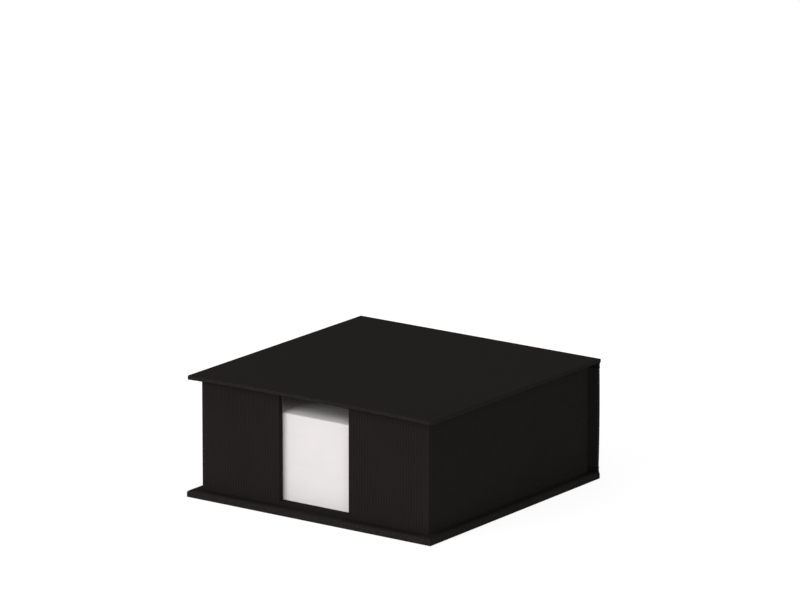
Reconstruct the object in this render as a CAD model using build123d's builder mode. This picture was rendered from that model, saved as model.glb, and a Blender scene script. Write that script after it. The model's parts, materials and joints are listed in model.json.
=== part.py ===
from build123d import *
import os

# Sticky note dispenser: a covered-board case in book form, with a lid hinged along the back, and a
# ribbed tray in it that holds a stack of square notes behind a finger slot.
# Millimetres. X runs to the right, the front faces -Y, Z is up, and the origin is the middle of the
# case's underside.

# Notes
note_size = 76.0
pad_thickness = 9.0
pad_count = 3
note_side_clearance = 1.05
note_front_clearance = 0.3
note_rear_clearance = 2.5
note_headroom = 5.4

# Boards and papers
wall_board = 1.5
floor_board = 0.9
base_board_thickness = 1.9
lid_board_thickness = 0.9
spine_board_thickness = 1.2
cover_paper = 0.15
wrap_paper = 0.15
lining_paper = 0.15
hinge_cloth = 0.3

# Ribs of the tray's covering paper
rib_pitch = 0.97
rib_width = 0.76
rib_height = 0.2

# Case
side_overhang = 2.95
front_overhang = 3.3
lid_corner_radius = 1.6
lid_upper_edge_radius = 0.5
lid_lower_edge_radius = 0.3
base_corner_radius = 0.35
base_upper_edge_radius = 1.1
base_lower_edge_radius = 0.4
rear_corner_radius = 0.3
rear_edge_radius = 0.35
turn_in = 12.0
mitre_seam_width = 0.12
mitre_seam_depth = 0.1
mitre_seam_start = 1.6
mitre_seam_stop = 0.5
lining_margin = 2.5
lining_rear_margin = 1.0
spine_side_inset = 0.15
spine_rear_inset = 0.1
spine_crown = 0.25
hinge_groove_depth = 0.15
joint_gap = 1.6

# Tray
finger_slot_width = 25.0
wrap_corner_radius = 0.45
wrap_flap_depth = 2.5

# Heights, from the desk up
base_top = cover_paper + base_board_thickness + cover_paper
floor_top = base_top + floor_board
well_floor = floor_top + lining_paper
stack_top = well_floor + pad_count * pad_thickness
tray_top = stack_top + note_headroom
lid_edge_bottom = tray_top + lining_paper
lid_board_bottom = lid_edge_bottom + cover_paper
case_height = lid_board_bottom + lid_board_thickness + cover_paper
wall_top = tray_top - wrap_paper
flap_bottom = tray_top - wrap_flap_depth

# Widths, about the middle
well_width = note_size + 2 * note_side_clearance
walls_inner_width = well_width + 2 * lining_paper
walls_outer_width = walls_inner_width + 2 * wall_board
tray_band_width = walls_outer_width + 2 * wrap_paper
tray_width = tray_band_width + 2 * rib_height
case_width = tray_width + 2 * side_overhang
spine_width = case_width - 2 * spine_side_inset
spine_board_width = spine_width - 2 * cover_paper

# Depths, from the front edge of the case to its back edge
front_wall = rib_height + wrap_paper + wall_board + lining_paper
rear_wall = lining_paper + wall_board + wrap_paper
spine_thickness = cover_paper + spine_board_thickness + cover_paper
well_depth = note_front_clearance + note_size + note_rear_clearance
case_depth = front_overhang + front_wall + well_depth + rear_wall + spine_thickness + spine_rear_inset
case_front = -case_depth / 2
case_back = case_depth / 2
tray_front = case_front + front_overhang
band_front = tray_front + rib_height
walls_front = band_front + wrap_paper
lining_front = walls_front + wall_board
well_front = lining_front + lining_paper
well_back = well_front + well_depth
lining_back = well_back + lining_paper
walls_back = lining_back + wall_board
band_back = walls_back + wrap_paper
spine_back = case_back - spine_rear_inset
spine_board_back = spine_back - cover_paper
spine_board_front = spine_board_back - spine_board_thickness
spine_bottom = base_top + joint_gap
spine_top = lid_edge_bottom - joint_gap
note_front = well_front + note_front_clearance

slot_board_gap = finger_slot_width + 2 * wrap_paper
window_front = case_front + turn_in
window_back = case_back - cover_paper
window_width = case_width - 2 * turn_in
lid_lining_width = case_width - 2 * lining_margin
lid_lining_front = case_front + lining_margin
lid_lining_back = case_back - lining_rear_margin
joint_back = spine_back - spine_crown
joint_front = joint_back - hinge_cloth
joint_lining_front = joint_front - lining_paper


def slab(width, front, back, bottom, top, mode=Mode.ADD):
    """A plate centred on X, from front to back and from bottom to top, in the part being built."""
    with BuildSketch(Plane.XY.offset(bottom)) as plan:
        with Locations((0, (front + back) / 2)):
            Rectangle(width, back - front)
    extrude(plan.sketch, amount=top - bottom, mode=mode)


def frame_walls(outer_width, outer_front, outer_back, inner_width, inner_front, inner_back, bottom, top):
    """Four walls around a rectangular hollow, in the part being built."""
    with BuildSketch(Plane.XY.offset(bottom)) as plan:
        with Locations((0, (outer_front + outer_back) / 2)):
            Rectangle(outer_width, outer_back - outer_front)
        with Locations((0, (inner_front + inner_back) / 2)):
            Rectangle(inner_width, inner_back - inner_front, mode=Mode.SUBTRACT)
    extrude(plan.sketch, amount=top - bottom)


def soft_plate(bottom, top, corner_radius, upper_radius, lower_radius, inset=0.0, mode=Mode.ADD):
    """
    A plate of the case's width and depth, less an inset all round, with soft edges: where the views from
    above, from the front and from the side meet. Seen from above, its corners are rounded. Seen from the
    front and the side, its edges are rounded with one radius above and another below, and with a small
    one along the back. All radii are the outer ones, and shrink by the inset.
    """
    width = case_width - 2 * inset
    depth = case_depth - 2 * inset
    middle = (bottom + top) / 2
    with BuildPart(mode=Mode.PRIVATE) as plate:
        with BuildSketch(Plane.XY.offset(bottom)) as plan:
            Rectangle(width, depth)
            fillet(vertices().group_by(Axis.Y)[0], corner_radius - inset)
            fillet(vertices().group_by(Axis.Y)[-1], rear_corner_radius - inset)
        extrude(plan.sketch, amount=top - bottom)
        with BuildSketch(Plane.XZ.offset(-depth / 2)) as front_view:
            with Locations((0, middle)):
                Rectangle(width, top - bottom)
            fillet(vertices().group_by(Axis.Y)[-1], upper_radius - inset)
            fillet(vertices().group_by(Axis.Y)[0], lower_radius - inset)
        extrude(front_view.sketch, amount=depth, mode=Mode.INTERSECT)
        with BuildSketch(Plane.YZ.offset(-width / 2)) as side_view:
            with Locations((0, middle)):
                Rectangle(depth, top - bottom)
            fillet(vertices().group_by(Axis.X)[-1], rear_edge_radius - inset)
            fillet(vertices().group_by(Axis.X)[0].group_by(Axis.Y)[-1], upper_radius - inset)
            fillet(vertices().group_by(Axis.X)[0].group_by(Axis.Y)[0], lower_radius - inset)
        extrude(side_view.sketch, amount=width, mode=Mode.INTERSECT)
    add(plate.part, mode=mode)


def base_plate(inset=0.0, mode=Mode.ADD):
    """The base's outer form, or with an inset of one paper the board in it."""
    soft_plate(
        inset,
        base_top - inset,
        base_corner_radius,
        base_upper_edge_radius,
        base_lower_edge_radius,
        inset,
        mode,
    )


def lid_plate(inset=0.0, mode=Mode.ADD):
    """The lid's outer form, or with an inset of one paper the board in it."""
    soft_plate(
        lid_edge_bottom + inset,
        case_height - inset,
        lid_corner_radius,
        lid_upper_edge_radius,
        lid_lower_edge_radius,
        inset,
        mode,
    )


def turn_in_window(bottom):
    """
    Opens a cover's inner face between its turn-ins. At the back the covering runs on into the hinge, so
    the window reaches that edge.
    """
    slab(window_width, window_front, window_back, bottom, bottom + cover_paper, Mode.SUBTRACT)


def mitre_seams(face_height, inward):
    """
    The seams at 45 degrees where the turn-ins meet at the two front corners, as shallow grooves from
    near the corner to near the window. They are cut into the face at that height, upward for an inward
    of 1 and downward for -1.
    """
    seam_end = turn_in - mitre_seam_stop
    seam_length = (seam_end - mitre_seam_start) * 2**0.5
    middle = (seam_end + mitre_seam_start) / 2
    for sign in (-1, 1):
        with BuildSketch(Plane.XY.offset(face_height)) as plan:
            with Locations((sign * (case_width / 2 - middle), case_front + middle)):
                Rectangle(seam_length, mitre_seam_width, rotation=-45 * sign)
        extrude(plan.sketch, amount=inward * mitre_seam_depth, mode=Mode.SUBTRACT)


def crowned_slab(width, front, back, bottom, top, mode=Mode.ADD):
    """A plate as slab makes, but its rear face is an arc, lower by the spine's crown at both ends."""
    end_back = back - spine_crown
    with BuildSketch(Plane.YZ.offset(-width / 2)) as profile:
        with BuildLine():
            Line((front, bottom), (front, top))
            Line((front, top), (end_back, top))
            ThreePointArc((end_back, top), (back, (bottom + top) / 2), (end_back, bottom))
            Line((end_back, bottom), (front, bottom))
        make_face()
    extrude(profile.sketch, amount=width, mode=mode)


def joint_strip(width, back, thickness, bottom, top):
    """A strip of covering across a joint, centred on X, pressed inwards into a shallow groove."""
    front = back - thickness
    middle = (bottom + top) / 2
    with BuildSketch(Plane.YZ.offset(-width / 2)) as profile:
        with BuildLine():
            ThreePointArc((back, bottom), (back - hinge_groove_depth, middle), (back, top))
            Line((back, top), (front, top))
            ThreePointArc((front, top), (front - hinge_groove_depth, middle), (front, bottom))
            Line((front, bottom), (back, bottom))
        make_face()
    extrude(profile.sketch, amount=width)


def seat_on_base(width, front, back):
    """Carries the ends of a strip that stands on the base down onto the base's rounded side edges."""
    slab(width, front, back, base_top - base_upper_edge_radius, base_top)
    base_plate(mode=Mode.SUBTRACT)


def ribbed_side(start, end, outward):
    """
    One side of the wrap's outline, from start to end: half-round ribs, one rib pitch apart and centred
    on the side, with narrow flats between them.
    """
    along = (end - start).normalized()
    length = (end - start).length
    rib_count = int((length - rib_width) / rib_pitch)
    first = (length - (rib_count - 1) * rib_pitch - rib_width) / 2
    flat_start = start
    for rib in range(rib_count):
        rib_start = start + along * (first + rib * rib_pitch)
        rib_end = rib_start + along * rib_width
        crown = (rib_start + rib_end) * 0.5 + outward * rib_height
        Line(flat_start, rib_start)
        ThreePointArc(rib_start, crown, rib_end)
        flat_start = rib_end
    Line(flat_start, end)


def wrap_outline():
    """
    The wrap's outer outline, anticlockwise from the front left corner: ribs on three sides, and plain at
    the back. The corner offset is how far the middle of a rounded corner lies in from its two sides.
    """
    r = wrap_corner_radius
    half = tray_band_width / 2
    corner_offset = r * (1 - 0.5**0.5)
    front_start = Vector(-half + r, band_front)
    front_end = Vector(half - r, band_front)
    right_start = Vector(half, band_front + r)
    right_end = Vector(half, band_back - r)
    back_start = Vector(half - r, band_back)
    back_end = Vector(-half + r, band_back)
    left_start = Vector(-half, band_back - r)
    left_end = Vector(-half, band_front + r)
    ribbed_side(front_start, front_end, Vector(0, -1))
    ThreePointArc(front_end, (half - corner_offset, band_front + corner_offset), right_start)
    ribbed_side(right_start, right_end, Vector(1, 0))
    ThreePointArc(right_end, (half - corner_offset, band_back - corner_offset), back_start)
    Line(back_start, back_end)
    ThreePointArc(back_end, (-half + corner_offset, band_back - corner_offset), left_start)
    ribbed_side(left_start, left_end, Vector(-1, 0))
    ThreePointArc(left_end, (-half + corner_offset, band_front + corner_offset), front_start)


def write(piece, name):
    """Labels a finished piece and writes it under its name."""
    piece.part.label = name
    export_step(piece.part, f"parts/{name}.step")


os.makedirs("parts", exist_ok=True)

# Base of the case
with BuildPart() as base_board:
    base_plate(cover_paper)
write(base_board, "base_board")

# Its covering: the lower face, the edges, and turn-ins on the upper face
with BuildPart() as base_cover:
    base_plate()
    base_plate(cover_paper, Mode.SUBTRACT)
    turn_in_window(base_top - cover_paper)
    mitre_seams(base_top, -1)
write(base_cover, "base_cover")

# Infill between the base's turn-ins, under the tray
with BuildPart() as base_lining:
    slab(window_width, window_front, window_back, base_top - cover_paper, base_top)
write(base_lining, "base_lining")

# Spine, glued to the back of the tray, with its rear face slightly crowned
with BuildPart() as spine_board:
    crowned_slab(spine_board_width, spine_board_front, spine_board_back, spine_bottom, spine_top)
write(spine_board, "spine_board")

with BuildPart() as spine_cover:
    crowned_slab(spine_width, band_back, spine_back, spine_bottom, spine_top)
    rear_corners = edges().filter_by(GeomType.CIRCLE)
    fillet(rear_corners, rear_edge_radius)
    crowned_slab(
        spine_board_width, spine_board_front, spine_board_back, spine_bottom, spine_top, Mode.SUBTRACT
    )
    slab(window_width, band_back, spine_board_front, spine_bottom, spine_top, Mode.SUBTRACT)
write(spine_cover, "spine_cover")

# Flexible joints, where the covering crosses from the spine to the lid and to the base
with BuildPart() as lid_hinge_strip:
    joint_strip(spine_width, joint_back, hinge_cloth, spine_top, lid_edge_bottom)
write(lid_hinge_strip, "lid_hinge_strip")

with BuildPart() as base_hinge_strip:
    joint_strip(spine_width, joint_back, hinge_cloth, base_top, spine_bottom)
    seat_on_base(spine_width, joint_front, joint_back)
write(base_hinge_strip, "base_hinge_strip")

# Spine lining: up the front of the spine board between the turn-ins, over both of its ends, and along
# the inside of both flexible joints
with BuildPart() as spine_lining:
    slab(window_width, band_back, spine_board_front, spine_bottom, spine_top)
    slab(spine_board_width, band_back, joint_lining_front, spine_top, spine_top + lining_paper)
    slab(spine_board_width, band_back, joint_lining_front, spine_bottom - lining_paper, spine_bottom)
    joint_strip(spine_board_width, joint_front, lining_paper, spine_top, lid_edge_bottom)
    joint_strip(spine_board_width, joint_front, lining_paper, base_top, spine_bottom)
    seat_on_base(spine_board_width, joint_lining_front, joint_front)
write(spine_lining, "spine_lining")

# Tray boards: the walls stand on the floor, and the front and rear boards stand between the sides
with BuildPart() as tray_floor:
    slab(walls_outer_width, walls_front, walls_back, base_top, floor_top)
write(tray_floor, "tray_floor")

side_wall_x = (walls_inner_width + wall_board) / 2
for side, sign in (("left", -1), ("right", 1)):
    with BuildPart() as side_wall:
        with BuildSketch(Plane.XY.offset(floor_top)):
            with Locations((sign * side_wall_x, (walls_front + walls_back) / 2)):
                Rectangle(wall_board, walls_back - walls_front)
        extrude(amount=wall_top - floor_top)
    write(side_wall, f"tray_{side}_wall")

with BuildPart() as tray_rear_wall:
    slab(walls_inner_width, walls_back - wall_board, walls_back, floor_top, wall_top)
write(tray_rear_wall, "tray_rear_wall")

panel_width = (walls_inner_width - slot_board_gap) / 2
panel_x = (walls_inner_width + slot_board_gap) / 4
for side, sign in (("left", -1), ("right", 1)):
    with BuildPart() as front_panel:
        with BuildSketch(Plane.XY.offset(floor_top)):
            with Locations((sign * panel_x, walls_front + wall_board / 2)):
                Rectangle(panel_width, wall_board)
        extrude(amount=wall_top - floor_top)
    write(front_panel, f"front_{side}_panel")

# Ribbed covering paper round the tray, turned over the top edges and round the sides of the slot
with BuildPart() as tray_wrap:
    with BuildSketch(Plane.XY.offset(base_top)):
        with BuildLine():
            wrap_outline()
        make_face()
        with Locations((0, (walls_front + walls_back) / 2)):
            Rectangle(walls_outer_width, walls_back - walls_front, mode=Mode.SUBTRACT)
    extrude(amount=tray_top - base_top)
    frame_walls(
        walls_outer_width, walls_front, walls_back, well_width, well_front, well_back, wall_top, tray_top
    )
    frame_walls(
        walls_inner_width,
        lining_front,
        lining_back,
        well_width,
        well_front,
        well_back,
        flap_bottom,
        wall_top,
    )
    slab(slot_board_gap, walls_front, lining_front, floor_top, wall_top)
    slab(finger_slot_width, case_front, well_front, well_floor, tray_top, Mode.SUBTRACT)
write(tray_wrap, "tray_wrap")

# Lining paper on the well's floor and walls, up to the wrap's turned-in edge and cut off at the slot
with BuildPart() as tray_lining:
    slab(walls_inner_width, lining_front, lining_back, floor_top, flap_bottom)
    slab(well_width, well_front, well_back, well_floor, flap_bottom, Mode.SUBTRACT)
    slab(finger_slot_width, lining_front, well_front, well_floor, flap_bottom, Mode.SUBTRACT)
write(tray_lining, "tray_lining")

# Notes, pads on top of each other
for pad in range(pad_count):
    pad_bottom = well_floor + pad * pad_thickness
    with BuildPart() as note_pad:
        slab(note_size, note_front, note_front + note_size, pad_bottom, pad_bottom + pad_thickness)
    write(note_pad, f"note_pad_{pad + 1}")

# Lid
with BuildPart() as lid_board:
    lid_plate(cover_paper)
write(lid_board, "lid_board")

# Its covering: the upper face, the edges, and turn-ins on the lower face
with BuildPart() as lid_cover:
    lid_plate()
    lid_plate(cover_paper, Mode.SUBTRACT)
    turn_in_window(lid_edge_bottom)
    mitre_seams(lid_edge_bottom, 1)
write(lid_cover, "lid_cover")

# Lining of the lid: it fills the space between the turn-ins and laps over them
with BuildPart() as lid_lining:
    slab(window_width, window_front, window_back, lid_edge_bottom, lid_board_bottom)
    slab(lid_lining_width, lid_lining_front, lid_lining_back, tray_top, lid_edge_bottom)
write(lid_lining, "lid_lining")

print("case", round(case_width, 2), round(case_depth, 2), round(case_height, 2))
print("tray", round(tray_width, 2), "well", round(well_width, 2), round(well_depth, 2))
print("hinge axis y", round(case_back, 3), "z", round(lid_edge_bottom, 3))
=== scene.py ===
"""A sticky note dispenser in its studio: finishes for its boards and papers, a lid that has bowed a little,
pads made of single sheets, and covering paper pressed into the joint where the lid is hinged."""

import json
import math

import bmesh
import bpy
import numpy as np
from bpy.props import FloatProperty, FloatVectorProperty, IntProperty, PointerProperty
from bpy.types import NodeSocket, Operator, Panel, PropertyGroup
from mathutils import Matrix, Vector


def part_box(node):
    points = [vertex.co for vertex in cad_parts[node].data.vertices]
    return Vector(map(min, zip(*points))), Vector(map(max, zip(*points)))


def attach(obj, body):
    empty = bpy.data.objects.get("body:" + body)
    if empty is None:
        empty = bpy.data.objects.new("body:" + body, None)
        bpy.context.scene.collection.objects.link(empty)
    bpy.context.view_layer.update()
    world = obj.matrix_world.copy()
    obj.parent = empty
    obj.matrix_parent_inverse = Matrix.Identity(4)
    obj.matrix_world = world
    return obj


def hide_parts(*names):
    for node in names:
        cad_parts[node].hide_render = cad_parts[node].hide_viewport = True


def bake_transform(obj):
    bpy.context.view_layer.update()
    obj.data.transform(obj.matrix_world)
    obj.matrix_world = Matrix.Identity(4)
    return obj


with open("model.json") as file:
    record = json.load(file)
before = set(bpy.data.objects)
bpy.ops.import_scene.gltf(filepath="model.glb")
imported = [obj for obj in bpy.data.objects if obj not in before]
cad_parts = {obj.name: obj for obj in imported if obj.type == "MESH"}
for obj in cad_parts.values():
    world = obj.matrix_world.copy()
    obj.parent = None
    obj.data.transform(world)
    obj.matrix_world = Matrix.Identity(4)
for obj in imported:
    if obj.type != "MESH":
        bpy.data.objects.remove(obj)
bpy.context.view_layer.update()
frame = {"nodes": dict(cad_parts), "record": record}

bl_info = {
    "name": "Sticky note dispenser",
    "version": (1, 0, 0),
    "blender": (4, 5, 0),
    "location": "3D View > Sidebar > Note box",
    "description": "Dresses a covered-board note box and sets it in a plain studio",
    "category": "Object",
}

MM = 0.001

# How finely the lid's faces are cut before they are bowed
CUTS_ACROSS = 22
CUTS_ALONG = 11

# The studio, in metres; the floor lies just under the box, so that the two don't share a face
TARGET = Vector((0, 0, 0.018))
KEY_DISTANCE = 1.4
FILL_FROM_TARGET = Vector((1.1, -1.0, 0.21))
FILL_SIZE = 0.9
FLOOR_REACH = 6.0
FLOOR_LEVEL = -0.02 * MM

# The floor as the camera sees it: its glow grows from SHADED_GLOW to 1 between two distances from the
# middle of the box, and LIT_GREY takes the light and the shadow
SHADE_START = 0.06
SHADE_END = 0.3
SHADED_GLOW = 0.9
LIT_GREY = (0.2, 0.2, 0.2)


# Sizes and colours that a user would change


class NoteBoxSheets(PropertyGroup):
    """Sizes of the sheets in the note pads."""

    thickness: FloatProperty(
        name="Sheet thickness",
        description="Thickness of one sheet of note paper",
        default=0.1 * MM,
        unit="LENGTH",
    )
    step: FloatProperty(
        name="Step between sheets",
        description="How far the edge of a sheet stands out from the next one's",
        default=0.012 * MM,
        unit="LENGTH",
    )
    pad_shift: FloatProperty(
        name="Shift between pads",
        description="How far a pad lies off the middle of the stack",
        default=0.04 * MM,
        unit="LENGTH",
    )
    corner_radius: FloatProperty(
        name="Corner radius",
        description="Radius of a sheet's corners",
        default=0.25 * MM,
        unit="LENGTH",
    )
    sag: FloatProperty(
        name="Sag of the top sheet",
        description="How far the top sheet's front edge hangs down",
        default=0.65 * MM,
        unit="LENGTH",
    )
    sag_reach: FloatProperty(
        name="Reach of the sag",
        description="How far back from its front edge the top sheet bends, over sheets that are pushed back",
        default=6.5 * MM,
        unit="LENGTH",
    )
    seed: IntProperty(
        name="Seed",
        description="Starting number for the sheets' random steps",
        default=7,
    )


class NoteBoxLid(PropertyGroup):
    """How the covered board of the lid has warped."""

    bow: FloatProperty(
        name="Bow",
        description="How far the middle of the lid's front edge stands above its corners",
        default=0.53 * MM,
        unit="LENGTH",
    )


class NoteBoxHinge(PropertyGroup):
    """Sizes of the covering paper where it crosses the joints of the case."""

    groove: FloatProperty(
        name="Groove depth",
        description="How far the covering is pressed in between two boards",
        default=0.15 * MM,
        unit="LENGTH",
    )
    ripple: FloatProperty(
        name="Ripple",
        description="Height of the faint ripples that pressing leaves in the groove",
        default=0.02 * MM,
        unit="LENGTH",
    )
    fold: FloatProperty(
        name="Fold height",
        description="Height of the part under the lid that takes the bend",
        default=0.1 * MM,
        unit="LENGTH",
    )


class NoteBoxColours(PropertyGroup):
    """Colours of the papers and boards."""

    covering: FloatVectorProperty(
        name="Covering paper",
        description="Smooth paper over the lid, the spine and the base",
        subtype="COLOR",
        default=(0.0163, 0.0145, 0.0135),
        min=0,
        max=1,
    )
    ribbed: FloatVectorProperty(
        name="Ribbed paper",
        description="Ribbed paper round the tray",
        subtype="COLOR",
        default=(0.0164, 0.0147, 0.0136),
        min=0,
        max=1,
    )
    lining: FloatVectorProperty(
        name="Lining paper",
        description="Paper inside the tray, the spine and the lid",
        subtype="COLOR",
        default=(0.0145, 0.0128, 0.0117),
        min=0,
        max=1,
    )
    core: FloatVectorProperty(
        name="Core of the black papers",
        description="Inside of the black papers, which shows where they are cut",
        subtype="COLOR",
        default=(0.2, 0.175, 0.155),
        min=0,
        max=1,
    )
    board: FloatVectorProperty(
        name="Grey board",
        description="Bare board under the papers",
        subtype="COLOR",
        default=(0.3, 0.27, 0.23),
        min=0,
        max=1,
    )
    notes: FloatVectorProperty(
        name="Note paper",
        description="Sheets of the note pads",
        subtype="COLOR",
        default=(0.76, 0.725, 0.722),
        min=0,
        max=1,
    )


class NoteBoxStudio(PropertyGroup):
    """Light, floor and camera."""

    key_power: FloatProperty(
        name="Key light",
        description="Power of the soft light at the front left",
        default=10.4,
        unit="POWER",
    )
    key_bearing: FloatProperty(
        name="Key bearing",
        description="How far the key light stands to the left of the front",
        default=math.radians(20),
        subtype="ANGLE",
    )
    key_height: FloatProperty(
        name="Key height",
        description="How far the key light stands above the floor, as an angle",
        default=math.radians(25),
        subtype="ANGLE",
    )
    key_size: FloatProperty(
        name="Key size",
        description="Side of the square key light",
        default=0.9,
        unit="LENGTH",
    )
    fill_power: FloatProperty(
        name="Fill light",
        description="Power of the light at the front right",
        default=7.7,
        unit="POWER",
    )
    sky: FloatProperty(
        name="Sky",
        description="Strength of the even light from all round",
        default=0.46,
    )
    sky_lean: FloatProperty(
        name="Lean of the sky",
        description="Share by which the light from the left is stronger, and that from the right weaker",
        default=0.16,
        min=0,
        max=1,
    )
    floor: FloatVectorProperty(
        name="Floor",
        description="Colour of the floor under the box",
        subtype="COLOR",
        default=(0.9, 0.9, 0.9),
        min=0,
        max=1,
    )
    yaw: FloatProperty(
        name="Camera yaw",
        description="How far the camera stands to the right of the front",
        default=math.radians(35.495),
        subtype="ANGLE",
    )
    pitch: FloatProperty(
        name="Camera pitch",
        description="How far the camera looks down",
        default=math.radians(14.339),
        subtype="ANGLE",
    )
    roll: FloatProperty(
        name="Camera roll",
        description="Turn of the camera about its own line of sight",
        default=math.radians(0.07),
        subtype="ANGLE",
    )
    place: FloatVectorProperty(
        name="Camera place",
        description="Where the camera stands",
        subtype="TRANSLATION",
        default=(1.051175, -1.471212, 0.519606),
    )
    lens: FloatProperty(
        name="Lens",
        description="Focal length of the camera in millimetres",
        default=285.84,
    )


# Shader nodes


def add_node(tree, kind, inputs=None, **settings):
    """A new shader node. inputs maps a socket's name or number to a value, or to the socket that feeds it."""
    made = tree.nodes.new(kind)
    for setting, value in settings.items():
        setattr(made, setting, value)
    for socket, value in (inputs or {}).items():
        if isinstance(value, NodeSocket):
            tree.links.new(value, made.inputs[socket])
        else:
            made.inputs[socket].default_value = value
    return made


def maths(tree, operation, first, second=0.0):
    """The result of a Math node on one or two values."""
    return add_node(tree, "ShaderNodeMath", {0: first, 1: second}, operation=operation).outputs[0]


def ramp(tree, value, low, high, at_low=0.0, at_high=1.0):
    """value mapped from low..high to at_low..at_high with smooth ends, and held there outside."""
    sockets = {0: value, 1: low, 2: high, 3: at_low, 4: at_high}
    return add_node(tree, "ShaderNodeMapRange", sockets, interpolation_type="SMOOTHSTEP").outputs[0]


def mix_colours(tree, share, first, second):
    """The first colour where share is 0, the second where it is 1."""
    made = add_node(tree, "ShaderNodeMix", {0: share, 6: first, 7: second}, data_type="RGBA")
    return made.outputs[2]


def object_place(tree):
    """The point's place in the object."""
    return add_node(tree, "ShaderNodeTexCoord").outputs["Object"]


def place_parts(tree, place):
    """The three parts of a place: along X, Y and Z."""
    return add_node(tree, "ShaderNodeSeparateXYZ", {0: place}).outputs


def noise(tree, place, size, detail=3.0, stretch=(1.0, 1.0, 1.0)):
    """Noise from 0 to 1 with features of about that size in metres, longer where stretch is over 1."""
    scale = tuple(1.0 / (size * longer) for longer in stretch)
    mapped = add_node(tree, "ShaderNodeMapping", {"Vector": place, "Scale": scale}).outputs[0]
    sockets = {"Vector": mapped, "Scale": 1.0, "Detail": detail, "Roughness": 0.55}
    return add_node(tree, "ShaderNodeTexNoise", sockets).outputs[0]


def rgba(colour, factor=1.0):
    """A colour times a factor, with an alpha of 1."""
    return tuple(channel * factor for channel in colour) + (1.0,)


def empty_material(name):
    """A material with no nodes, and its tree."""
    material = bpy.data.materials.new(name)
    material.use_nodes = True
    material.node_tree.nodes.clear()
    return material, material.node_tree


def shaded_material(name, specular):
    """A material with a Principled shader, its tree and that shader."""
    material, tree = empty_material(name)
    shader = add_node(tree, "ShaderNodeBsdfPrincipled")
    shader.inputs["Specular IOR Level"].default_value = specular
    add_node(tree, "ShaderNodeOutputMaterial", {"Surface": shader.outputs[0]})
    return material, tree, shader


def finish_paper(tree, shader, colour, height, depth, roughness):
    """Joins a colour, a height in units of depth, and a roughness to a paper's shader."""
    bump = add_node(tree, "ShaderNodeBump", {"Height": height, "Distance": depth, "Strength": 0.6})
    tree.links.new(colour, shader.inputs["Base Color"])
    tree.links.new(roughness, shader.inputs["Roughness"])
    tree.links.new(bump.outputs[0], shader.inputs["Normal"])


def black_paper(name, colour, roughness, worn_and_highlit=None):
    """
    Matte black paper: fine fibres, a soft mottle, and paler fibres where worn gives a share over 0,
    which is partly wear and partly a painted highlight. roughness is the least and the most of it,
    and worn takes the tree and the parts of the point's place and gives its share.
    """
    material, tree, shader = shaded_material(name, specular=0.005)
    place = object_place(tree)
    mottle = noise(tree, place, size=9 * MM, detail=4.0)
    fibres = noise(tree, place, size=0.22 * MM, stretch=(1.0, 3.0, 1.0))
    cloudy = mix_colours(tree, ramp(tree, mottle, 0.3, 0.7), rgba(colour, 0.96), rgba(colour, 1.04))
    fibre_share = ramp(tree, fibres, 0.62, 0.78, 0.0, 0.25)
    tone = mix_colours(tree, fibre_share, cloudy, rgba(colour, 2.0))
    if worn_and_highlit:
        # Paler tone where the share is over 0: partly wear, partly a painted highlight.
        scuff_and_highlight_noise = ramp(tree, noise(tree, place, size=0.7 * MM, detail=5.0), 0.42, 0.62)
        share = maths(tree, "MULTIPLY", worn_and_highlit(tree, place_parts(tree, place)), scuff_and_highlight_noise)
        tone = mix_colours(tree, share, tone, rgba(colour, 1.3))
    height = maths(tree, "ADD", fibres, maths(tree, "MULTIPLY", mottle, 0.8))
    finish_paper(tree, shader, tone, height, 0.03 * MM, ramp(tree, mottle, 0.25, 0.75, *roughness))
    return material


def rim_wear_highlight_share(high, width):
    """A share that is 1 at the rim of a board, with its middle at X and Y 0, and 0 from width inwards: wear
    on the rims, and a painted highlight along them.
    """

    def share(tree, parts):
        across = maths(tree, "SUBTRACT", high.x, maths(tree, "ABSOLUTE", parts[0]))
        along = maths(tree, "SUBTRACT", high.y, maths(tree, "ABSOLUTE", parts[1]))
        return ramp(tree, maths(tree, "MINIMUM", across, along), 0.0, width, 1.0, 0.0)

    return share


def crown_wear_highlight_share(low, high, depth, most):
    """A share that is most on the crowns of the ribs on the front and the sides, and 0 from depth inwards:
    wear on the crowns, and a painted highlight that brings the ribs out.
    """

    def share(tree, parts):
        across = maths(tree, "SUBTRACT", high.x, maths(tree, "ABSOLUTE", parts[0]))
        along = maths(tree, "SUBTRACT", parts[1], low.y)
        return ramp(tree, maths(tree, "MINIMUM", across, along), 0.0, depth, most, 0.0)

    return share


def at_slot_edges(paper=0.15 * MM, within=0.02 * MM):
    """A share that is 1 on the papers' cut edges at the sides of the slot, just behind the front panels."""
    low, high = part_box("front_right_panel")
    half_width = low.x - paper
    front = high.y + 0.01 * MM
    back = high.y + 0.2 * MM

    def share(tree, parts):
        off_side = maths(tree, "SUBTRACT", maths(tree, "ABSOLUTE", parts[0]), half_width)
        at_side = maths(tree, "LESS_THAN", maths(tree, "ABSOLUTE", off_side), within)
        behind = maths(tree, "GREATER_THAN", parts[1], front)
        before = maths(tree, "LESS_THAN", parts[1], back)
        return maths(tree, "MULTIPLY", at_side, maths(tree, "MULTIPLY", behind, before))

    return share


def show_core(material, cut, core):
    """Puts the papers' core colour over a material's colour where cut gives 1."""
    tree = material.node_tree
    shader = next(n for n in tree.nodes if n.type == "BSDF_PRINCIPLED")
    place = object_place(tree)
    below = shader.inputs["Base Color"].links[0].from_socket
    speckle = ramp(tree, noise(tree, place, size=0.15 * MM, detail=2.0), 0.3, 0.7)
    pale = mix_colours(tree, speckle, rgba(core, 0.7), rgba(core, 1.3))
    share = cut(tree, place_parts(tree, place))
    tree.links.new(mix_colours(tree, share, below, pale), shader.inputs["Base Color"])


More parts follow.
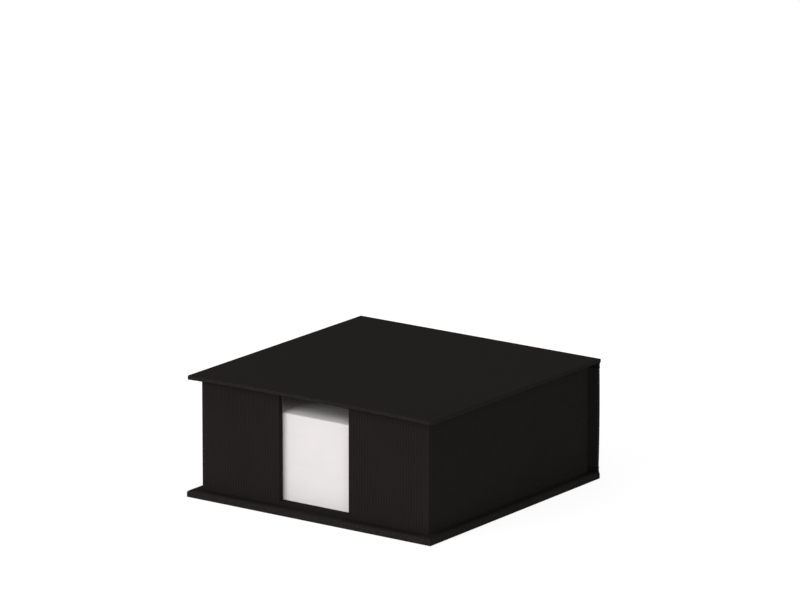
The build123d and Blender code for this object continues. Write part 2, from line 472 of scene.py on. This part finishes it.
def grey_board(colour):
    """Pressed recycled board: grey-brown, with dark and pale specks and a felted surface."""
    material, tree, shader = shaded_material("grey_board", specular=0.3)
    place = object_place(tree)
    mottle = noise(tree, place, size=3 * MM, detail=4.0)
    specks = noise(tree, place, size=0.35 * MM, stretch=(1.0, 2.0, 1.0))
    tone = mix_colours(tree, ramp(tree, mottle, 0.3, 0.7), rgba(colour, 0.85), rgba(colour, 1.15))
    tone = mix_colours(tree, ramp(tree, specks, 0.64, 0.72), tone, rgba(colour, 0.45))
    tone = mix_colours(tree, ramp(tree, specks, 0.36, 0.28), tone, rgba(colour, 1.6))
    height = maths(tree, "ADD", specks, mottle)
    finish_paper(tree, shader, tone, height, 0.05 * MM, ramp(tree, mottle, 0.2, 0.8, 0.85, 0.95))
    return material


def note_paper(colour, line_strength=0.35):
    """Uncoated white paper, with faint lines from sheet to sheet on a pad's sides and fine fibres."""
    material, tree, shader = shaded_material("note_paper", specular=0.2)
    place = object_place(tree)
    lines = noise(tree, place, size=0.16 * MM, detail=2.0, stretch=(300.0, 300.0, 1.0))
    fibres = noise(tree, place, size=0.3 * MM)
    soft = noise(tree, place, size=12 * MM, detail=2.0)
    tone = mix_colours(tree, ramp(tree, soft, 0.3, 0.7), rgba(colour, 0.985), rgba(colour, 1.01))
    line_share = ramp(tree, lines, 0.42, 0.3, 0.0, line_strength)
    tone = mix_colours(tree, line_share, tone, rgba(colour, 0.86))
    finish_paper(tree, shader, tone, fibres, 0.01 * MM, ramp(tree, fibres, 0.2, 0.8, 0.72, 0.86))
    return material


def dress(names, material):
    """Gives a finish to CAD nodes, by the nodes' names."""
    for name in names:
        slots = frame["nodes"][name].data.materials
        slots.clear()
        slots.append(material)


# Meshes


def add_piece(name, mesh, material):
    """An object at the origin with a new mesh and one material, in the scene."""
    mesh.materials.append(material)
    mesh.update()
    made = bpy.data.objects.new(name, mesh)
    bpy.context.scene.collection.objects.link(made)
    return made


def ring_object(name, rings, material):
    """
    A closed piece from rings of points, as an array of (ring, point, 3): quads join each ring to the
    next, and the first and last ring are filled. Rings turn so that the quads face outwards.
    """
    ring_count, point_count = rings.shape[:2]
    rows = np.arange(ring_count - 1)[:, None] * point_count
    here = np.arange(point_count)[None, :]
    after = (here + 1) % point_count
    quads = np.stack([rows + here, rows + after, rows + after + point_count, rows + here + point_count], -1)
    first = tuple(range(point_count))[::-1]
    last = tuple(range((ring_count - 1) * point_count, ring_count * point_count))
    faces = [tuple(quad) for quad in quads.reshape(-1, 4).tolist()] + [first, last]
    mesh = bpy.data.meshes.new(name)
    mesh.from_pydata(rings.reshape(-1, 3), [], faces)
    return add_piece(name, mesh, material)


def rounded_square(low, high, radius, inset, corner_points=4):
    """
    The outline of a rectangle with rounded corners, anticlockwise from above, as an array of (point, 2).
    Each corner is a quarter turn about its own centre: centre + radius * (cos angle, sin angle).
    """
    turn = np.linspace(0, math.pi / 2, corner_points)
    starts = np.arange(4) * math.pi / 2
    angles = (starts[:, None] + turn[None, :]).ravel()
    signs = np.repeat(np.array([[1, 1], [-1, 1], [-1, -1], [1, -1]]), corner_points, axis=0)
    middle = np.array([(low.x + high.x) / 2, (low.y + high.y) / 2])
    half = np.array([(high.x - low.x) / 2, (high.y - low.y) / 2]) - inset - radius
    return middle + signs * half + radius * np.stack([np.cos(angles), np.sin(angles)], -1)


def pad_rings(low, high, sheets, random, sagging):
    """
    The rings of a pad of sheets: two for each sheet, at its lower and upper face. Every sheet has the
    same outline, moved by the pad's shift and a random step: less at the rear, where the gum holds it.
    The outline is inset by more than both, so that no sheet leaves the pad. Under the sagging top sheet,
    each sheet's front edge is pushed back to where the sagging one is as high as it: by
    sag_reach * (1 - cube root of its depth below the top / sag).
    """
    count = max(1, round((high.z - low.z) / sheets.thickness))
    inset = sheets.pad_shift + 3 * sheets.step
    outline = rounded_square(low, high, sheets.corner_radius, inset)
    steps = np.clip(random.normal(0, sheets.step, (count, 2)), -2 * sheets.step, 2 * sheets.step)
    steps += random.uniform(-sheets.pad_shift, sheets.pad_shift, 2)
    hold = (high.y - outline[:, 1]) / (high.y - low.y)
    moved = outline[None] + steps[:, None, :] * np.stack([np.ones_like(hold), hold], -1)[None]
    levels = low.z + (high.z - low.z) * np.arange(count + 1) / count
    rings = np.empty((count, 2, len(outline), 3))
    rings[..., :2] = moved[:, None]
    rings[:, 0, :, 2] = levels[:-1, None]
    rings[:, 1, :, 2] = levels[1:, None]
    if sagging:
        depth = np.clip((high.z - levels[1:]) / sheets.sag, 0, 1)
        rings[..., 1] += (sheets.sag_reach * (1 - np.cbrt(depth)))[:, None, None] * hold
    return rings.reshape(2 * count, len(outline), 3)


def sagging_sheet(low, high, sheets, bent_rows=15, flat_rows=12, columns=9):
    """
    The underside of the top sheet, as an array of (row, column, 3): flat at the top of the pad, and
    within sag_reach of its front edge lower by sag * (1 - distance from that edge / sag_reach) cubed.
    """
    bent = np.linspace(0, sheets.sag_reach, bent_rows)
    flat = np.linspace(sheets.sag_reach, high.y - low.y, flat_rows)[1:]
    x, y = np.meshgrid(np.linspace(low.x, high.x, columns), low.y + np.append(bent, flat))
    front = np.clip(1 - (y - low.y) / sheets.sag_reach, 0, 1)
    return np.stack([x, y, high.z - sheets.sag * front**3], -1)


def slab_object(name, under, thickness, material):
    """A closed slab over a grid of points as (row, column, 3), with a second grid one thickness above it."""
    rows, columns = under.shape[:2]
    index = np.arange(rows * columns).reshape(rows, columns)
    a, b, c, d = index[:-1, :-1], index[:-1, 1:], index[1:, 1:], index[1:, :-1]
    top = np.stack([a, b, c, d], -1).reshape(-1, 4) + rows * columns
    bottom = np.stack([d, c, b, a], -1).reshape(-1, 4)
    rim = np.concatenate([index[0, :-1], index[:-1, -1], index[-1, :0:-1], index[:0:-1, 0]])
    after = np.roll(rim, -1)
    wall = np.stack([rim, after, after + rows * columns, rim + rows * columns], -1)
    faces = np.concatenate([top, bottom, wall])
    points = np.concatenate([under.reshape(-1, 3), under.reshape(-1, 3) + (0, 0, thickness)])
    mesh = bpy.data.meshes.new(name)
    mesh.from_pydata(points, [], faces.tolist())
    return add_piece(name, mesh, material)


def joint_rings(low, high, hinge, columns=133, rows=13):
    """
    Rings round the strip of covering under the lid, one ring for each column along X. A ring goes up the
    rear face and down the front one. The rear face is pressed in by groove * sin(pi * height share), and
    ripples of two wavelengths along X fade out towards both edges the same way. The last step in height
    is the fold, which takes the bend.
    """
    levels = np.append(np.linspace(0, high.z - low.z - hinge.fold, rows), high.z - low.z)
    press = np.sin(math.pi * levels / (high.z - low.z))
    thickness = high.y - low.y - hinge.groove
    x = np.linspace(low.x, high.x, columns)[:, None]
    waves = np.sin(x / (1.7 * MM) + 0.4) + 0.7 * np.sin(x / (0.61 * MM) + 0.8)
    rear = high.y - press[None] * (hinge.groove + hinge.ripple * waves)
    points = len(levels)
    rings = np.empty((columns, 2 * points, 3))
    rings[..., 0] = x
    rings[:, :points, 1] = rear
    rings[:, points:, 1] = rear[:, ::-1] - thickness
    rings[:, :points, 2] = low.z + levels
    rings[:, points:, 2] = (low.z + levels)[::-1]
    return rings


def bowed_copy(name, node, low, high, bow):
    """
    A copy of a CAD node, bowed upwards at the front of the lid, which goes from low to high. Each point
    rises by bow * (1 - (x / half width) ** 4) * (distance from the hinge / depth) ** 2. The faces are cut
    by planes across X and Y first, so that the long ones follow the bow. The CAD's own normals go,
    because they belong to the uncut faces.
    """
    same_point = 0.0001 * MM
    cut = bmesh.new()
    cut.from_mesh(node.data)
    bmesh.ops.remove_doubles(cut, verts=cut.verts[:], dist=same_point)
    for normal, count in (((1, 0, 0), CUTS_ACROSS), ((0, 1, 0), CUTS_ALONG)):
        for share in np.linspace(0, 1, count + 2)[1:-1]:
            whole = cut.verts[:] + cut.edges[:] + cut.faces[:]
            place = low.lerp(high, share)
            bmesh.ops.bisect_plane(cut, geom=whole, dist=same_point, plane_co=place, plane_no=normal)
    mesh = bpy.data.meshes.new(name)
    cut.to_mesh(mesh)
    cut.free()
    if "custom_normal" in mesh.attributes:
        mesh.attributes.remove(mesh.attributes["custom_normal"])
    values = np.empty(3 * len(mesh.vertices))
    mesh.vertices.foreach_get("co", values)
    points = values.reshape(-1, 3)
    across = (points[:, 0] - (low.x + high.x) / 2) / ((high.x - low.x) / 2)
    along = (high.y - points[:, 1]) / (high.y - low.y)
    points[:, 2] += bow * (1 - across**4) * along**2
    mesh.vertices.foreach_set("co", points.ravel())
    return add_piece(name, mesh, node.data.materials[0])


# Operators: one for each piece or group of like pieces, and one for the stage


class NOTEBOX_OT_covering_paper(Operator):
    """Finish the smooth black paper over the lid, the spine and the base."""

    bl_idname = "notebox.covering_paper"
    bl_label = "Covering paper"

    def execute(self, context):
        colour = context.scene.note_box_colours.covering
        # The rims of the lid and the base get a paler tone: partly wear, partly a painted highlight.
        rim = rim_wear_highlight_share(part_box("lid_cover")[1], width=0.7 * MM)
        boards = black_paper("covering_paper", colour, roughness=(0.74, 0.8), worn_and_highlit=rim)
        spine = black_paper("spine_paper", colour, roughness=(0.74, 0.8))
        dress(["lid_cover", "base_cover"], boards)
        dress(["spine_cover"], spine)
        return {"FINISHED"}


class NOTEBOX_OT_ribbed_paper(Operator):
    """Finish the ribbed black paper round the tray."""

    bl_idname = "notebox.ribbed_paper"
    bl_label = "Ribbed paper"

    def execute(self, context):
        colours = context.scene.note_box_colours
        low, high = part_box("tray_wrap")
        # The rib crowns get a paler tone: partly wear, partly a painted highlight.
        crowns = crown_wear_highlight_share(low, high, depth=0.08 * MM, most=0.15)
        material = black_paper("ribbed_paper", colours.ribbed, roughness=(0.76, 0.82), worn_and_highlit=crowns)
        show_core(material, at_slot_edges(), colours.core)
        dress(["tray_wrap"], material)
        return {"FINISHED"}


class NOTEBOX_OT_lining_paper(Operator):
    """Finish the black lining of the tray, the spine, the lid and the base."""

    bl_idname = "notebox.lining_paper"
    bl_label = "Lining paper"

    def execute(self, context):
        colours = context.scene.note_box_colours
        material = black_paper("lining_paper", colours.lining, roughness=(0.74, 0.86))
        show_core(material, at_slot_edges(), colours.core)
        dress(["tray_lining", "spine_lining", "lid_lining", "base_lining"], material)
        return {"FINISHED"}


class NOTEBOX_OT_boards(Operator):
    """Finish the grey boards under the papers."""

    bl_idname = "notebox.boards"
    bl_label = "Grey boards"

    def execute(self, context):
        tray = ["tray_floor", "tray_left_wall", "tray_right_wall", "tray_rear_wall"]
        panels = ["front_left_panel", "front_right_panel"]
        case = ["base_board", "spine_board", "lid_board"]
        dress(tray + panels + case, grey_board(context.scene.note_box_colours.board))
        return {"FINISHED"}


class NOTEBOX_OT_lid(Operator):
    """Bow the lid's board and its two papers a little, as glued paper does."""

    bl_idname = "notebox.lid"
    bl_label = "Lid"

    def execute(self, context):
        low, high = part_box("lid_cover")
        bow = context.scene.note_box_lid.bow
        for node in frame["record"]["behaviour"]["bodies"]["lid"]:
            piece = bowed_copy(f"bowed_{node}", frame["nodes"][node], low, high, bow)
            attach(piece, "lid")
            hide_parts(node)
        return {"FINISHED"}


class NOTEBOX_OT_hinges(Operator):
    """Make the grooved covering paper in the joint under the lid, and finish the one that lies still at the
    base.
    """

    bl_idname = "notebox.hinges"
    bl_label = "Paper hinges"

    def execute(self, context):
        hinge = context.scene.note_box_hinge
        colour = context.scene.note_box_colours.covering
        material = black_paper("hinge_paper", colour, roughness=(0.66, 0.8))
        dress(["base_hinge_strip"], material)
        low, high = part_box("lid_hinge_strip")
        piece = ring_object("lid_hinge", joint_rings(low, high, hinge), material)
        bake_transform(piece)
        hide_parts("lid_hinge_strip")
        return {"FINISHED"}


class NOTEBOX_OT_note_pads(Operator):
    """Make the pads of notes sheet by sheet, with the top sheet's front edge hanging a little."""

    bl_idname = "notebox.note_pads"
    bl_label = "Note pads"

    def execute(self, context):
        sheets = context.scene.note_box_sheets
        random = np.random.default_rng(sheets.seed)
        paper = note_paper(context.scene.note_box_colours.notes)
        pads = sorted(frame["record"]["behaviour"]["bodies"]["notes"])
        for number, node in enumerate(pads, 1):
            low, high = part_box(node)
            top = node == pads[-1]
            if top:
                high = high - Vector((0, 0, sheets.thickness))
            piece = ring_object(f"pad_{number}", pad_rings(low, high, sheets, random, top), paper)
            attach(piece, "notes")
            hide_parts(node)
            if top:
                inset = Vector((0.1 * MM, 0.05 * MM, 0))
                under = sagging_sheet(low + inset, high - inset, sheets)
                sheet = slab_object("top_sheet", under, sheets.thickness, paper)
                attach(sheet, "notes")
        return {"FINISHED"}


class NOTEBOX_OT_stage(Operator):
    """Set the box on a pale floor in soft light, with the camera in its place."""

    bl_idname = "notebox.stage"
    bl_label = "Stage"

    def execute(self, context):
        studio = context.scene.note_box_studio
        make_floor(studio.floor)
        make_sky(context.scene, studio.sky, studio.sky_lean)
        level = math.cos(studio.key_height)
        aside, ahead = math.sin(studio.key_bearing) * level, math.cos(studio.key_bearing) * level
        key = Vector((-aside, -ahead, math.sin(studio.key_height))) * KEY_DISTANCE
        make_light("key_light", TARGET + key, studio.key_power, studio.key_size)
        make_light("fill_light", TARGET + FILL_FROM_TARGET, studio.fill_power, FILL_SIZE)
        make_camera(context.scene, studio)
        context.scene.view_settings.view_transform = "Standard"
        return {"FINISHED"}


def seen_directly(tree):
    """A share that is 1 for what is seen straight, in a gloss or through glass, and 0 for soft light."""
    rays = add_node(tree, "ShaderNodeLightPath").outputs
    straight = maths(tree, "MAXIMUM", rays["Is Camera Ray"], rays["Is Glossy Ray"])
    return maths(tree, "MAXIMUM", straight, rays["Is Transmission Ray"])


def make_floor(colour):
    """A large plain floor, white where the camera sees it, that keeps the box's soft shadow."""
    signs = ((-1, -1), (1, -1), (1, 1), (-1, 1))
    corners = [(x * FLOOR_REACH, y * FLOOR_REACH, FLOOR_LEVEL) for x, y in signs]
    mesh = bpy.data.meshes.new("floor")
    mesh.from_pydata(corners, [], [(0, 1, 2, 3)])
    material, tree = empty_material("floor_paper")
    floor = add_piece("floor", mesh, material)
    plain = add_node(tree, "ShaderNodeBsdfDiffuse", {"Color": rgba(colour)}).outputs[0]
    sockets = {0: object_place(tree)}
    away = add_node(tree, "ShaderNodeVectorMath", sockets, operation="LENGTH").outputs["Value"]
    glow = ramp(tree, away, SHADE_START, SHADE_END, SHADED_GLOW, 1.0)
    white = add_node(tree, "ShaderNodeEmission", {"Color": (1, 1, 1, 1), "Strength": glow}).outputs[0]
    lit = add_node(tree, "ShaderNodeBsdfDiffuse", {"Color": rgba(LIT_GREY)}).outputs[0]
    shown = add_node(tree, "ShaderNodeAddShader", {0: lit, 1: white}).outputs[0]
    surface = add_node(tree, "ShaderNodeMixShader", {0: seen_directly(tree), 1: plain, 2: shown}).outputs[0]
    add_node(tree, "ShaderNodeOutputMaterial", {"Surface": surface})


def make_sky(scene, strength, lean):
    """Soft light from all round, a little stronger from the left, which the camera sees as white."""
    world = bpy.data.worlds.new("sky")
    world.use_nodes = True
    tree = world.node_tree
    tree.nodes.clear()
    direction = add_node(tree, "ShaderNodeTexCoord").outputs["Generated"]
    across = add_node(tree, "ShaderNodeSeparateXYZ", {0: direction}).outputs[0]
    level = ramp(tree, across, -1.0, 1.0, strength * (1 + lean), strength * (1 - lean))
    even = add_node(tree, "ShaderNodeBackground", {"Color": (1, 1, 1, 1), "Strength": level}).outputs[0]
    white = add_node(tree, "ShaderNodeBackground", {"Color": (1, 1, 1, 1), "Strength": 1.0}).outputs[0]
    shown = add_node(tree, "ShaderNodeMixShader", {0: seen_directly(tree), 1: even, 2: white}).outputs[0]
    add_node(tree, "ShaderNodeOutputWorld", {"Surface": shown})
    scene.world = world


def make_light(name, place, power, size):
    """A square area light at a place, turned to the middle of the box."""
    data = bpy.data.lights.new(name, "AREA")
    data.energy = power
    data.size = size
    light = bpy.data.objects.new(name, data)
    light.location = place
    light.rotation_euler = (TARGET - place).to_track_quat("-Z", "Y").to_euler()
    bpy.context.scene.collection.objects.link(light)


def make_camera(scene, studio):
    """The camera at its place, turned by yaw about Z, then pitched down, then rolled about its own axis."""
    data = bpy.data.cameras.new("camera")
    data.sensor_width = 36.0
    data.lens = studio.lens
    data.clip_start = 0.05
    data.clip_end = 50.0
    camera = bpy.data.objects.new("camera", data)
    turned = Matrix.Rotation(studio.yaw, 4, "Z")
    pitched = Matrix.Rotation(math.pi / 2 - studio.pitch, 4, "X")
    rolled = Matrix.Rotation(studio.roll, 4, "Z")
    camera.matrix_world = Matrix.Translation(studio.place) @ turned @ pitched @ rolled
    scene.collection.objects.link(camera)
    scene.camera = camera


class NOTEBOX_PT_panel(Panel):
    """The note box's steps and values, in the 3D view's sidebar."""

    bl_label = "Note box"
    bl_space_type = "VIEW_3D"
    bl_region_type = "UI"
    bl_category = "Note box"

    def draw(self, context):
        for operator in OPERATORS:
            self.layout.operator(operator.bl_idname)
        for group in GROUPS:
            values = getattr(context.scene, group)
            for name in values.__annotations__:
                self.layout.prop(values, name)


GROUPS = {
    "note_box_sheets": NoteBoxSheets,
    "note_box_lid": NoteBoxLid,
    "note_box_hinge": NoteBoxHinge,
    "note_box_colours": NoteBoxColours,
    "note_box_studio": NoteBoxStudio,
}

OPERATORS = (
    NOTEBOX_OT_covering_paper,
    NOTEBOX_OT_ribbed_paper,
    NOTEBOX_OT_lining_paper,
    NOTEBOX_OT_boards,
    NOTEBOX_OT_lid,
    NOTEBOX_OT_hinges,
    NOTEBOX_OT_note_pads,
    NOTEBOX_OT_stage,
)


def register():
    """Registers the groups of values, the operators and the panel."""
    for name, group in GROUPS.items():
        bpy.utils.register_class(group)
        setattr(bpy.types.Scene, name, PointerProperty(type=group))
    for operator in OPERATORS:
        bpy.utils.register_class(operator)
    bpy.utils.register_class(NOTEBOX_PT_panel)


def unregister():
    """Takes the panel, the operators and the groups away again."""
    bpy.utils.unregister_class(NOTEBOX_PT_panel)
    for operator in reversed(OPERATORS):
        bpy.utils.unregister_class(operator)
    for name, group in GROUPS.items():
        delattr(bpy.types.Scene, name)
        bpy.utils.unregister_class(group)


def main():
    register()
    bpy.ops.notebox.covering_paper()
    bpy.ops.notebox.ribbed_paper()
    bpy.ops.notebox.lining_paper()
    bpy.ops.notebox.boards()
    bpy.ops.notebox.lid()
    bpy.ops.notebox.hinges()
    bpy.ops.notebox.note_pads()
    bpy.ops.notebox.stage()


if __name__ == "__main__":
    main()
